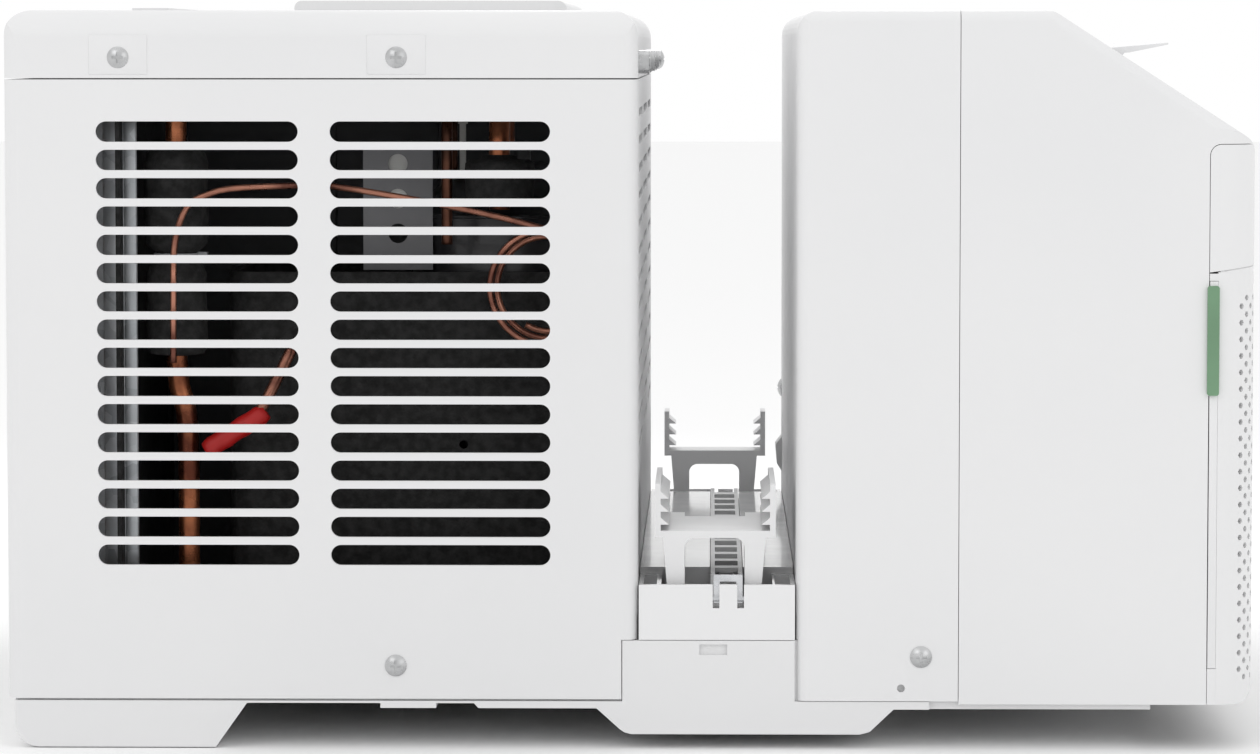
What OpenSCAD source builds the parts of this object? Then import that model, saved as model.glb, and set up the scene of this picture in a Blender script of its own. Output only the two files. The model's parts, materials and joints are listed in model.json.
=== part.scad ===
// Saddle window air conditioner: an outdoor section and an indoor section joined by a low bridge.
// Millimetres. X runs from the outdoor end to the room, Y across the width and Z up.
// The origin is under the middle of the unit, level with the bottom of the outdoor foot.

/* [Overall] */
// Width across the two side faces
unit_w = 487; // [470:1:500]
// Depth from the outdoor end to the front panel
unit_d = 559; // [557:1:563]
// Height of the top cover's flat top and of the indoor section
unit_h = 330; // [328:0.5:334]

/* [Outdoor section] */
// X of the casing wall that faces the window gap
gap_back_x = 3.5; // [3:0.1:4]
// Bottom edge of the casing
case_z0 = 22; // [21.8:0.1:24]
// Seam between the casing and the top cover
seam_z = 299.5; // [297:0.5:301]
// Wall of the casing and the top cover
case_wall = 2; // [1.5:0.1:2.2]
// Radius of the casing's upright corners
case_corner = 6; // [5:0.5:8]
// Radius of the top cover's upper edges
lid_round = 12; // [9:0.5:14]
// Height of the raised panel above the top cover
lid_panel_h = 5; // [3:0.5:6]

/* [Side slots] */
// Rows of slots in each side wall
slot_rows = 16; // [10:1:16]
// Centre height of the top row
slot_top_z = 276; // [270:0.5:280]
// Distance between rows
slot_pitch = 12.62; // [12:0.01:13]
// Height of one slot
slot_h = 9.1; // [7:0.1:10]
// Rows of louvre slots in the wall that faces the gap
gap_slot_rows = 13; // [6:1:14]

/* [Bridge] */
// Height of the tray's rim
tray_top_z = 48.4; // [46:0.1:50]
// Height of the bridge deck
deck_z = 76.4; // [75:0.1:78]
// Height of the bridge cover's side walls
bridge_wall_z = 73.5; // [72:0.1:74]
// Length of the open pocket at each end of the deck
pocket_len = 50; // [46:1:54]

/* [Sash brackets] */
// Width across a bracket's uprights
trough_w = 54.1; // [52:0.1:56]
// Top of a bracket's shelf
shelf_z = 97; // [95:0.5:99]
// Top of the toothed uprights
upright_top_z = 118; // [116:0.5:120]
// Distance between teeth
tooth_pitch = 5.85; // [5.5:0.05:6]
// How far a tooth stands out of its upright
tooth_reach = 3.7; // [3:0.1:4.2]

/* [Indoor section] */
// X of the wall that faces the window gap
gap_front_x = 74.2; // [74:0.1:75]
// X of the seam between the rear and front shells
shell_seam_x = 146.9; // [140:0.1:150]
// X of the seam between the front shell and the front panel
panel_seam_x = 257.8; // [257.5:0.1:258]
// X at which the flat top turns into the slope
slope_x = 188.4; // [188:0.1:189]
// Fall of the slope
slope_a = 33; // [32.5:0.1:33.5]
// Wall of the indoor shells
shell_wall = 2.5; // [2.2:0.1:2.6]
// Radius of the front panel's upright corners
front_round = 20; // [18:1:22]
// Height of the seam between the upper panel and the grille
grille_seam_z = 214.6; // [214:0.1:217]

/* [Air outlet] */
// Opening angle of the louver flap as shown
flap_open = 38; // [0:1:50]
// Distance of the flap's pivot down the slope
flap_pivot = 33; // [32.8:0.1:33.2]
// Number of swinging vanes
vane_count = 5; // [5]
// Distance between vanes
vane_pitch = 80; // [70:1:84]

/* [Fans] */
// Radius of the condenser fan
fan_r = 108; // [90:1:110]
// Number of condenser fan blades
fan_blades = 5; // [3:1:7]
// Radius of the cross-flow blower
blower_r = 46; // [42:1:47]
// Number of blower blades
blower_blades = 24; // [16:1:30]

/* [Coils] */
// Rows of tubes in the condenser
condenser_rows = 10; // [6:1:11]
// Rows of tubes in the evaporator
evaporator_rows = 7; // [5:1:8]
// Outer diameter of the coil tubes
coil_tube_d = 7; // [6:0.1:7.5]

/* [Fasteners] */
// Head diameter of the pan-head screws
screw_head_d = 9.8; // [8:0.1:10]
// Shank diameter of the screws
screw_shank_d = 3.9; // [3.5:0.1:4]
// Diameter of the pilot hole in each side of the rear shell
pilot_d = 3.5; // [3:0.1:4]

/* [Hidden] */
$fn = 48;

half_w = unit_w / 2;
half_d = unit_d / 2;
seam_gap = 0.3;
fit_gap = 0.3;
shell_white = [0.90, 0.90, 0.91];
pan_white = [0.86, 0.86, 0.87];
inner_grey = [0.55, 0.56, 0.58];
galvanised = [0.66, 0.68, 0.70];
fin_silver = [0.75, 0.77, 0.79];
copper = [0.72, 0.40, 0.25];
foam_black = [0.07, 0.07, 0.08];
motor_black = [0.12, 0.12, 0.13];
tab_green = [0.42, 0.58, 0.47];
sleeve_red = [0.75, 0.10, 0.10];
steel = [0.60, 0.61, 0.62];
board_green = [0.10, 0.35, 0.20];
lens_dark = [0.05, 0.06, 0.07];

// A box between two corners
module block(x0, x1, y0, y1, z0, z1) translate([x0, y0, z0]) cube([x1 - x0, y1 - y0, z1 - z0]);

// Extrudes an X-Z outline from y0 to y1
module span_y(y0, y1) translate([0, y1, 0]) rotate([90, 0, 0]) linear_extrude(height = y1 - y0) children();

// Extrudes an X-Z outline across the width
module across(w) span_y(-w / 2, w / 2) children();

// Extrudes a Y-Z outline from x0 to x1
module span_x(x0, x1) translate([x0, 0, 0]) rotate([90, 0, 90]) linear_extrude(height = x1 - x0) children();

// Extrudes an X-Y outline from z0 to z1
module span_z(z0, z1) translate([0, 0, z0]) linear_extrude(height = z1 - z0) children();

// A rectangle with rounded corners, whose radii may differ between its low and high x ends
module soft_rect(x0, x1, y0, y1, r_low, r_high) {
    translate([x0 + r_low, y0]) square([x1 - x0 - r_low - r_high, y1 - y0]);
    translate([x0, y0 + r_low]) square([x1 - x0 - r_high, y1 - y0 - 2 * r_low]);
    translate([x0 + r_low, y0 + r_high]) square([x1 - x0 - r_low, y1 - y0 - 2 * r_high]);
    for (y = [y0 + r_low, y1 - r_low]) translate([x0 + r_low, y]) circle(r = r_low);
    for (y = [y0 + r_high, y1 - r_high]) translate([x1 - r_high, y]) circle(r = r_high);
}

// A round-ended slot outline, long in x
module slot_outline(x0, x1, y, h) {
    translate([x0 + h / 2, y - h / 2]) square([x1 - x0 - h, h]);
    for (x = [x0 + h / 2, x1 - h / 2]) translate([x, y]) circle(d = h);
}

// A straight rod between two points
module rod(a, b, r) {
    d = b - a;
    len = norm(d);
    translate(a) rotate([0, acos(d[2] / len), atan2(d[1], d[0])]) cylinder(r = r, h = len);
}

// The direction of a path at point i
function heading(p, i) = let (d = p[min(i + 1, len(p) - 1)] - p[max(i - 1, 0)]) d / norm(d);

// A unit vector square to a heading and to a reference direction
function across_path(h, ref) = let (c = cross(h, ref)) c / norm(c);

// A tube along a path; no stretch of the path runs along ref
module tube(path, r, ref, sides = 10) {
    rings = [for (i = [0 : len(path) - 1])
        let (h = heading(path, i), u = across_path(h, ref), v = cross(h, u))
        for (j = [0 : sides - 1]) path[i] + r * (cos(360 * j / sides) * u + sin(360 * j / sides) * v)];
    last = (len(path) - 1) * sides;
    polyhedron(rings, concat(
        [[for (j = [sides - 1 : -1 : 0]) j]],
        [for (i = [0 : len(path) - 2], j = [0 : sides - 1]) let (k = (j + 1) % sides)
            [i * sides + j, i * sides + k, (i + 1) * sides + k, (i + 1) * sides + j]],
        [[for (j = [0 : sides - 1]) last + j]]
    ));
}

// A quarter or longer arc of points about a centre, in the plane of an outline
function arc(cx, cy, r, a0, a1, n) = [for (i = [0 : n]) let (a = a0 + (a1 - a0) * i / n)
    [cx + r * cos(a), cy + r * sin(a)]];

// A pan-head screw with a cross recess, pointing down its own -Z, head underside at z = 0
module screw(shank_len) {
    head_h = 2.3;
    ball_r = 7;
    difference() {
        union() {
            intersection() {
                cylinder(d = screw_head_d, h = head_h);
                translate([0, 0, head_h - ball_r]) sphere(r = ball_r);
            }
            translate([0, 0, -shank_len]) cylinder(d = screw_shank_d, h = shank_len + 0.5);
        }
        for (a = [0, 90]) rotate([0, 0, a]) block(-2.5, 2.5, -0.55, 0.55, 1, head_h + 1);
    }
}

// Places its children facing out of a side wall: side -1 faces -Y and side 1 faces +Y
module on_side(side, x, y, z) translate([x, side * y, z]) rotate([-side * 90, 0, 0]) children();

// ---------------------------------------------------------------- base pan

pan_wall = 3;
pan_half = half_w - case_wall - 0.9;
pan_skirt = half_w - 0.4;
pan_end_x = 233;
foot_round = 11;
case_screw = [-105, 37];
shell_screw = [130.2, 41.3];
side_screws = [case_screw, shell_screw];
drain_at = [-140, 150];

// Outline of the pan's underside, moved inward by t
function pan_outline(t) = concat(
    [[-half_d + 3.3 + t, tray_top_z + 5 * t]],
    arc(-half_d + 3.3 + foot_round, foot_round, foot_round - t, 180, 270, 8),
    [[-186 - 0.5 * t, t], [-172 - 0.7 * t, 22 - 2.2 + t]],
    [[-171, 20 + t], [-112 + t, 20 + t], [-112 + t, 17.8 + t], [-87 - t, 17.8 + t], [-87 - t, 20 + t]],
    [[-70 + t, 20 + t], [-68 + t, 17.8 + t], [-15 + 0.4 * t, 17.8 + t], [-4.6 + 0.4 * t, 8.4 + t],
        [-2.6 + 0.4 * t, 7 + t], [0.5 + 0.4 * t, 6.2 + t]],
    [[103 - 0.4 * t, 6.2 + t], [107.4 - 0.4 * t, 7.4 + t], [118 - 0.4 * t, 17.5 + t],
        [pan_end_x - t, 17.5 + t]],
    [[pan_end_x - t, tray_top_z + 5 * t]]
);

module base_pan() color(pan_white) difference() {
    union() {
        across(2 * pan_half) polygon(pan_outline(0));
        intersection() {
            across(2 * pan_skirt) polygon(pan_outline(0));
            union() {
                block(-half_d, 134, -half_w, half_w, -1, 21);
                block(-3.5, gap_front_x - 0.5, -half_w, half_w, 5, tray_top_z + 1);
            }
        }
    }
    across(2 * (pan_half - pan_wall)) polygon(pan_outline(pan_wall));
    for (side = [-1, 1]) {
        block(31, 43.5, side * half_w - 2, side * half_w + 2, 42, 46.7);
        for (p = side_screws) on_side(side, p[0], pan_half, p[1])
            cylinder(d = screw_shank_d + 0.3, h = 12, center = true);
    }
    translate([drain_at[0], drain_at[1], 10]) cylinder(d = 12, h = 20);
}

module drain_plug() color(foam_black) translate([drain_at[0], drain_at[1], 0]) {
    translate([0, 0, 23.2]) cylinder(d = 17, h = 3);
    translate([0, 0, 18]) cylinder(d = 11.8, h = 6);
}

// ---------------------------------------------------------------- outdoor section

// The outdoor section's plan outline, moved inward by t
module case_plan(t) soft_rect(-half_d + t, gap_back_x - t, -half_w + t, half_w - t,
    case_corner - t, case_corner - t);

slot_groups = [[-238.2, -148], [-133.8, -35.6]];
gap_slot_spans = [[-205, -95], [-55, 55], [95, 205]];

module outdoor_casing() color(shell_white) difference() {
    span_z(case_z0, seam_z - seam_gap) case_plan(0);
    span_z(case_z0 - 1, seam_z + 1) case_plan(case_wall);
    for (row = [0 : slot_rows - 1], g = slot_groups)
        across(unit_w + 2) slot_outline(g[0], g[1], slot_top_z - row * slot_pitch, slot_h);
    for (row = [0 : gap_slot_rows - 1], g = gap_slot_spans)
        span_x(gap_back_x - 3, gap_back_x + 1)
            slot_outline(g[0], g[1], slot_top_z + 8 - row * slot_pitch, 4);
    block(-half_d - 1, -half_d + 4, -half_w + 14, half_w - 14, 36, seam_z - 10);
    block(-3.9, gap_back_x + 1, -half_w - 1, half_w + 1, case_z0 - 1, tray_top_z + fit_gap);
    block(0, gap_back_x + 1, -200, 200, tray_top_z - 1, deck_z - 6);
    for (side = [-1, 1]) on_side(side, case_screw[0], half_w, case_screw[1])
        cylinder(d = screw_shank_d + 0.3, h = 12, center = true);
}

// The top cover's outer form, moved inward by t
module lid_block(t) intersection() {
    across(unit_w + 2) soft_rect(-half_d + t, gap_back_x - t, seam_z - 40, unit_h - t,
        lid_round - t, lid_round - t);
    span_x(-half_d - 1, gap_back_x + 1) soft_rect(-half_w + t, half_w - t, seam_z - 40, unit_h - t,
        lid_round - t, lid_round - t);
    span_z(seam_z + seam_gap - t, unit_h + 1) case_plan(min(t, case_wall));
}

lid_screws_x = [-228, -104];
lid_screw_z = 309;
gap_screws_y = [-225, 0, 225];
gap_screw_z = 307;
raised_x = [-158, -31];
raised_half = 150;
ridge_x = [-233, -216];
ridge_h = 1.6;

module top_cover() color(shell_white) difference() {
    union() {
        lid_block(0);
        intersection() {
            across(2 * raised_half)
                soft_rect(raised_x[0], raised_x[1], unit_h - 20, unit_h + lid_panel_h, 4, 4);
            span_z(unit_h - 1, unit_h + lid_panel_h + 1)
                soft_rect(raised_x[0], raised_x[1], -raised_half, raised_half, 12, 12);
        }
        span_z(unit_h - 1, unit_h + ridge_h)
            soft_rect(ridge_x[0], ridge_x[1], -raised_half, raised_half, 6, 6);
    }
    lid_block(case_wall);
    for (side = [-1, 1], x = lid_screws_x)
        on_side(side, x, half_w, lid_screw_z) cylinder(d = screw_shank_d + 0.3, h = 12, center = true);
    for (y = gap_screws_y) translate([gap_back_x, y, gap_screw_z]) rotate([0, 90, 0])
        cylinder(d = screw_shank_d + 0.3, h = 12, center = true);
}

module casing_screws() color(steel) {
    for (side = [-1, 1]) {
        for (x = lid_screws_x) on_side(side, x, half_w, lid_screw_z) screw(6);
        on_side(side, case_screw[0], half_w, case_screw[1]) screw(6);
    }
    for (y = gap_screws_y) translate([gap_back_x, y, gap_screw_z]) rotate([0, 90, 0]) {
        difference() {
            cylinder(d = 10.5, h = 4.8);
            translate([0, 0, -1]) cylinder(d = 4.4, h = 8);
        }
        translate([0, 0, 5.1]) screw(10);
    }
}

guard_cols = 9;
guard_rows = 20;

module rear_grille() color(shell_white) {
    y0 = -half_w + 14 + fit_gap;
    z0 = 36 + fit_gap;
    w = unit_w - 28 - 2 * fit_gap;
    h = seam_z - 46 - 2 * fit_gap;
    col = (w - 8) / guard_cols;
    row = (h - 8) / guard_rows;
    span_x(-half_d, -half_d + 3) difference() {
        translate([y0, z0]) square([w, h]);
        for (i = [0 : guard_cols - 1], j = [0 : guard_rows - 1])
            translate([y0 + 6 + i * col, z0 + 5 + j * row]) square([col - 4, row - 2.4]);
    }
}

// ---------------------------------------------------------------- condenser and its fan

cond_x = -270;
cond_t = 32;
cond_z0 = 30;
cond_z1 = 292;
cond_half = 219;
cond_pitch = (cond_z1 - cond_z0) / condenser_rows;

// The fin pack of a coil, with clearance holes for its tubes
module fin_pack(x0, t, half, z0, z1, rows, pitch) difference() {
    block(x0, x0 + t, -half, half, z0, z1);
    for (i = [0 : rows - 1], x = [x0 + t * 0.28, x0 + t * 0.72])
        translate([x, 0, z0 + (i + 0.5) * pitch]) rotate([90, 0, 0])
            cylinder(d = coil_tube_d + 0.3, h = 2 * half + 2, center = true);
}

// The tubes of a coil: straight runs joined by bends at both ends
module coil_tubes(x0, t, half, z0, rows, pitch) {
    bend = t * 0.22;
    stub = 5;
    for (i = [0 : rows - 1]) {
        z = z0 + (i + 0.5) * pitch;
        for (x = [x0 + t / 2 - bend, x0 + t / 2 + bend])
            translate([x, 0, z]) rotate([90, 0, 0])
                cylinder(d = coil_tube_d, h = 2 * (half + stub), center = true);
        for (side = [-1, 1]) translate([x0 + t / 2, side * (half + stub), z])
            rotate([0, 0, side > 0 ? 0 : 180])
                rotate_extrude(angle = 180) translate([bend, 0]) circle(d = coil_tube_d);
    }
}

// The two end plates of a coil
module end_plates(x0, t, half, z0, z1, rows, pitch) for (side = [-1, 1]) difference() {
    block(x0 - 1, x0 + t + 6, min(side * (half + 0.3), side * (half + 1.5)),
        max(side * (half + 0.3), side * (half + 1.5)), z0, z1);
    for (i = [0 : rows - 1], x = [x0 + t * 0.28, x0 + t * 0.72])
        translate([x, side * half, z0 + (i + 0.5) * pitch]) rotate([90, 0, 0])
            cylinder(d = coil_tube_d + 0.3, h = 10, center = true);
}

module condenser_coil() color(fin_silver)
    fin_pack(cond_x, cond_t, cond_half, cond_z0, cond_z1, condenser_rows, cond_pitch);

module condenser_tubes() color(copper)
    coil_tubes(cond_x, cond_t, cond_half, cond_z0, condenser_rows, cond_pitch);

module condenser_end_plates() color(galvanised)
    end_plates(cond_x, cond_t, cond_half, cond_z0, cond_z1, condenser_rows, cond_pitch);

fan_y = 70;
fan_z = 160;
fan_x = -214;
shaft_r = 4;

module fan_shroud() color(foam_black) difference() {
    union() {
        block(-230.5, -228.5, -half_w + 8, half_w - 8, 30, 290);
        translate([-229, fan_y, fan_z]) rotate([0, 90, 0]) cylinder(r = fan_r + 6, h = 22, $fn = 96);
    }
    translate([-240, fan_y, fan_z]) rotate([0, 90, 0]) cylinder(r = fan_r + 4, h = 60, $fn = 96);
}

// One pitched blade, cut to the fan's radii
module fan_blade() intersection() {
    difference() {
        rotate([0, 90, 0]) cylinder(r = fan_r, h = 26, center = true, $fn = 96);
        rotate([0, 90, 0]) cylinder(r = 25, h = 30, center = true);
    }
    rotate([0, 0, 24]) block(-1, 1, -34, 34, 20, fan_r + 5);
}

module condenser_fan() color(motor_black) translate([fan_x, fan_y, fan_z]) difference() {
    union() {
        rotate([0, 90, 0]) cylinder(r = 28, h = 26, center = true);
        for (i = [0 : fan_blades - 1]) rotate([i * 360 / fan_blades, 0, 0]) fan_blade();
    }
    translate([-6, 0, 0]) rotate([0, 90, 0]) cylinder(r = shaft_r + 0.05, h = 40);
}

module fan_motor() color(inner_grey) translate([0, fan_y, fan_z]) rotate([0, 90, 0]) {
    translate([0, 0, -190]) cylinder(r = 42, h = 58);
    translate([0, 0, -196]) cylinder(r = 14, h = 7);
    translate([0, 0, fan_x - 4]) cylinder(r = shaft_r, h = 24);
}

module motor_bracket() color(galvanised) difference() {
    union() {
        block(-131.7, -129.7, fan_y - 55, fan_y + 55, 25, 215);
        block(-131.7, -105, fan_y - 55, fan_y + 55, 23.3, 25.3);
    }
    for (y = [fan_y - 30, fan_y + 30], z = [70, 200]) translate([-135, y, z]) rotate([0, 90, 0])
        cylinder(r = 16, h = 10);
}

// ---------------------------------------------------------------- compressor and pipes

comp_x = -57;
comp_y = -138;
comp_r = 46;

module compressor() color(motor_black) translate([comp_x, comp_y, 0]) {
    translate([0, 0, 50]) cylinder(r = comp_r, h = 186);
    intersection() {
        translate([0, 0, 236]) cylinder(r = comp_r, h = 30);
        translate([0, 0, 212]) sphere(r = 50);
    }
    translate([0, 0, 258]) cylinder(r = 9, h = 8);
    for (a = [30, 150, 270]) rotate([0, 0, a]) difference() {
        block(20, 58, -11, 11, 46, 51);
        translate([50, 0, 40]) cylinder(r = 5.2, h = 20);
    }
}

module compressor_feet() color(foam_black) translate([comp_x, comp_y, 0])
    for (a = [30, 150, 270]) rotate([0, 0, a]) translate([50, 0, 0]) {
        translate([0, 0, 24]) cylinder(r = 8, h = 21.7);
        translate([0, 0, 45]) cylinder(r = 5, h = 4.7);
    }

module compressor_jacket() color(foam_black) difference() {
    span_z(54, 211) soft_rect(-185, -5, -190, -86, 14, 14);
    span_z(53, 212) soft_rect(-181, -9, -186, -90, 10, 10);
    translate([-77, -195, 132]) rotate([-90, 0, 0]) cylinder(d = 4, h = 12);
}

pipe_y = -208;
suction_x = -201;

module pipe_insulation() color(foam_black) translate([suction_x - 5, pipe_y, 0]) difference() {
    union() {
        translate([0, 0, 222]) cylinder(r = 14.5, h = 42);
        translate([0, 0, 264]) cylinder(r1 = 14.5, r2 = 9, h = 6);
        translate([0, 0, 176]) cylinder(r = 13.5, h = 40);
        translate([0, 0, 214]) cylinder(r = 9, h = 10);
    }
    translate([0, 0, 170]) cylinder(r = 5.2, h = 110);
}

module cable_tie() color(shell_white) translate([suction_x - 5, pipe_y, 217.5]) {
    difference() {
        cylinder(r = 10.4, h = 3);
        translate([0, 0, -1]) cylinder(r = 9.2, h = 5);
    }
    block(9.6, 14, -2.5, 2.5, -0.5, 3.5);
}

bend_r = 16;

module suction_pipe() color(copper) tube(concat(
    [[suction_x - 5, pipe_y, 292], [suction_x - 5, pipe_y, 165], [suction_x, pipe_y, 145]],
    [for (p = arc(suction_x + bend_r, 34 + bend_r, bend_r, 180, 270, 5)) [p[0], pipe_y, p[1]]],
    [[30, pipe_y, 34], [52, pipe_y, 32], [200, pipe_y, 32]]
), 4.9, [0, 1, 0]);

// A pipe that rises at y0, turns over and drops at y1 to z1
function over_path(x, y0, y1, z0, z1) = concat(
    [[x, y0, z0]],
    [for (p = arc(y0 - 8, 277, 8, 0, 90, 4)) [x, p[0], p[1]]],
    [for (p = arc(y1 + 8, 277, 8, 90, 180, 4)) [x, p[0], p[1]]],
    [[x, y1, z1]]
);

module discharge_pipes() color(copper) {
    tube(over_path(-84, -150, -197, 255, 224), 2.6, [1, 0, 0]);
    tube(over_path(-60, -138, -198, 266.3, 240), 4.8, [1, 0, 0]);
}

loop_r = 27;
loop_turns = 2.6;

module capillary_tube() color(copper) tube(concat(
    [[-205.5, -230, 172], [-204.5, -230, 226], [-199, -229, 242], [-190, -229, 247.5], [-178, -228, 250.3],
        [-151, -227, 251.5], [-136, -226, 251.5], [-91, -224, 244], [-52, -221, 235.5]],
    [for (i = [2 : loop_turns * 24]) let (a = 90 - 15 * i, r = loop_r - i * 0.04)
        [-37.6 + r * cos(a), -220 + i * 0.25, 205.8 + r * sin(a)]]
), 1.3, [0, 1, 0], 8);

module red_sleeve() color(sleeve_red) rod([-163, pipe_y - 8, 150.3], [-192.5, pipe_y - 8, 131.4], 4.6);

module pipe_bracket() color(galvanised) difference() {
    union() {
        block(-124, -92, -170, -168.8, 211.2, 270);
        block(-124, -107, -170, -150, 211.2, 212.4);
    }
    for (z = [228, 244, 260]) translate([-108, -175, z]) rotate([-90, 0, 0]) cylinder(d = 9, h = 10);
}

module inverter_box() color(galvanised) {
    difference() {
        block(-98, -12, 20, 225, 70, 285);
        block(-96.5, -13.5, 21.5, 223.5, 71.5, 286);
    }
    block(-97, -13, 21, 224, 100, 101.6);
    for (i = [0 : 2]) block(-80 + i * 20, -70 + i * 20, 60, 180, 101, 140);
}

// ---------------------------------------------------------------- bridge

bridge_x0 = gap_back_x + 0.4;
bridge_x1 = gap_front_x - 0.4;
rail_x0 = 36;
rail_x1 = 50.5;
pocket_floor_z = 63;
latch_y = -half_w + 5.2;
latch_z = 66.6;
deck_half = half_w - pocket_len;

module bridge_body() difference() {
    union() {
        block(bridge_x0, bridge_x1, -half_w + 0.4, half_w - 0.4, tray_top_z + fit_gap, bridge_wall_z);
        block(bridge_x0, bridge_x1, -deck_half, deck_half, tray_top_z + fit_gap, deck_z);
    }
    block(bridge_x0 - 1, bridge_x1 + 1, -deck_half + 3, deck_half - 3, tray_top_z - 1, deck_z - 3);
    for (side = [-1, 1]) {
        y0 = min(side * (deck_half + 0.01), side * (half_w - 3));
        y1 = max(side * (deck_half + 0.01), side * (half_w - 3));
        block(bridge_x0 + 10, bridge_x1 - 10, y0, y1, pocket_floor_z, deck_z + 1);
        block(bridge_x0 + 2, bridge_x0 + 8, y0, y1 - 8, pocket_floor_z + 5, deck_z + 1);
        block(bridge_x1 - 9, bridge_x1 - 2, y0, y1 - 8, pocket_floor_z + 5, deck_z + 1);
        block(bridge_x0 - 1, bridge_x1 + 1, y0, y1, tray_top_z - 1, pocket_floor_z - 3);
        for (x = [37, 48]) block(x, x + 3, side * half_w - 4, side * half_w + 4, pocket_floor_z, deck_z);
    }
    block(rail_x0 - fit_gap, rail_x1 + fit_gap, -deck_half - 1, deck_half + 1, deck_z - 13, deck_z + 1);
}

module bridge_cover() color(shell_white) difference() {
    union() {
        bridge_body();
        for (x = [34.4, 51.2])
            block(x, x + 2.2, -half_w + 2.8, -half_w + 7.4, pocket_floor_z - 1, latch_z + 2.6);
    }
    translate([34, latch_y, latch_z]) rotate([0, 90, 0]) cylinder(r = 1.36, h = 21);
}

rail_windows = 12;

module bracket_rail() color(shell_white) {
    rail_half = deck_half + 24;
    pitch = (2 * deck_half - 12) / rail_windows;
    difference() {
        block(rail_x0, rail_x1, -rail_half, rail_half, pocket_floor_z + 0.5, deck_z - 0.4);
        block(rail_x0 + 1.5, rail_x1 - 1.5, -rail_half - 1, rail_half + 1, pocket_floor_z + 2, deck_z - 2.4);
        for (i = [0 : rail_windows - 1])
            block(rail_x0 + 2, rail_x1 - 2, -deck_half + 10 + i * pitch, -deck_half + 2 + (i + 1) * pitch - 2,
                deck_z - 6, deck_z + 1);
        for (side = [-1, 1]) block(rail_x0 + 2, rail_x1 - 2, side > 0 ? deck_half : -rail_half - 1,
            side > 0 ? rail_half + 1 : -deck_half, deck_z - 6, deck_z + 1);
    }
}

trough_x0 = 11.1;
trough_x1 = trough_x0 + trough_w;
upright_t = 2.5;
shelf_t = 2.8;

// One toothed upright's outline, seen from the side, at its own inner face x = 0 with teeth towards +x
module upright_outline() {
    translate([-upright_t, shelf_z - shelf_t]) square([upright_t, upright_top_z - shelf_z + shelf_t]);
    for (i = [0 : 2]) {
        z = shelf_z + 2.8 + i * tooth_pitch;
        polygon([[-0.5, z], [tooth_reach, z], [-0.5, z + 3.6]]);
    }
}

// A trough bracket from y0 to y1, with legs from leg0 to leg1 and an arch between them up to arch_top
module bracket(y0, y1, leg0, leg1, arch_top) {
    foot_z = pocket_floor_z + fit_gap;
    span_y(y0, y1) {
        translate([trough_x0 + 0.5, shelf_z - shelf_t]) square([trough_w - 1, shelf_t]);
        translate([trough_x0 + upright_t, 0]) upright_outline();
        translate([trough_x1 - upright_t, 0]) mirror([1, 0]) upright_outline();
    }
    span_y(leg0, leg1) difference() {
        polygon([[17.1, foot_z], [14.6, shelf_z - 1], [60.9, shelf_z - 1], [58.2, foot_z]]);
        translate([24.4, foot_z - 1]) square([26.9, arch_top - foot_z - 3.5]);
        translate([28.9, foot_z - 1]) square([17.9, arch_top - foot_z + 1]);
        for (x = [28.9, 46.8]) translate([x, arch_top - 4.5]) circle(r = 4.5);
    }
}

module near_bracket() color(shell_white) difference() {
    bracket(-half_w + 8, -half_w + 98, -half_w + 8, -half_w + 46, shelf_z - shelf_t - 0.4);
    block(24, 52, -half_w + 79, -half_w + 100, shelf_z - 8, shelf_z + 1);
}

module far_bracket() color(shell_white)
    bracket(half_w - 33, half_w - 8, half_w - 33, half_w - 8, shelf_z - shelf_t - 4.5);

module rail_latch() color(steel) {
    difference() {
        block(37.4, 50.4, latch_y - 0.8, latch_y + 0.8, latch_z - 1.6, 77.6);
        block(40.2, 47.6, latch_y - 2, latch_y + 2, latch_z + 2.6, 74.6);
    }
    translate([34.6, latch_y, latch_z]) rotate([0, 90, 0]) cylinder(r = 1.3, h = 18.6);
    translate([40, latch_y, 72]) rotate([0, 90, 0]) cylinder(r = 1.6, h = 7.8);
}

// ---------------------------------------------------------------- indoor shells

shell_z0 = 20;
gland_z = 75;
gland_x = 104;
pilot_at = [121.3, 27.1];
gap_screw = [226, 130];
tan_a = tan(slope_a);
top_round = 10;
crease_r = 12;
nose_r = 9;
chin_r = 8;

// Side outline of the indoor section, moved inward by t, down to z0
module indoor_outline(t, z0) {
    xl = gap_front_x + t;
    xr = half_d - t;
    zt = unit_h - 0.2 - t;
    rb = top_round - t;
    rn = nose_r - t;
    crease = [slope_x - t * tan(slope_a / 2), zt];
    nose_z = zt - (xr - crease[0]) * tan_a;
    crease_len = crease_r * tan(slope_a / 2);
    nose_len = rn * tan((90 - slope_a) / 2);
    polygon(concat(
        [[xl, z0]],
        arc(xl + rb, zt - rb, rb, 180, 90, 6),
        arc(crease[0] - crease_len, zt - crease_r, crease_r, 90, 90 - slope_a, 4),
        arc(xr - rn, nose_z - nose_len, rn, 90 - slope_a, 0, 6),
        arc(xr - chin_r, z0 + chin_r, chin_r, 0, -90, 6)
    ));
}

// Plan outline of the indoor section, moved inward by t
module indoor_plan(t) soft_rect(gap_front_x + t, half_d - t, -half_w + t, half_w - t, 5 - t, front_round - t);

// Moves its children to the top of the slope: x runs down the slope and z stands out of it
module on_slope() translate([slope_x, 0, unit_h - 0.2]) rotate([0, slope_a, 0]) children();

edge_r = 5;

// The indoor section's outer form
module indoor_form() intersection() {
    across(unit_w + 2) indoor_outline(0, shell_z0);
    span_z(0, unit_h + 1) indoor_plan(0);
    span_x(gap_front_x - 1, half_d + 1) soft_rect(-half_w, half_w, -50, unit_h - 0.2, edge_r, edge_r);
    on_slope() span_x(-200, 300) soft_rect(-half_w, half_w, -500, 0, edge_r, edge_r);
}

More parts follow.
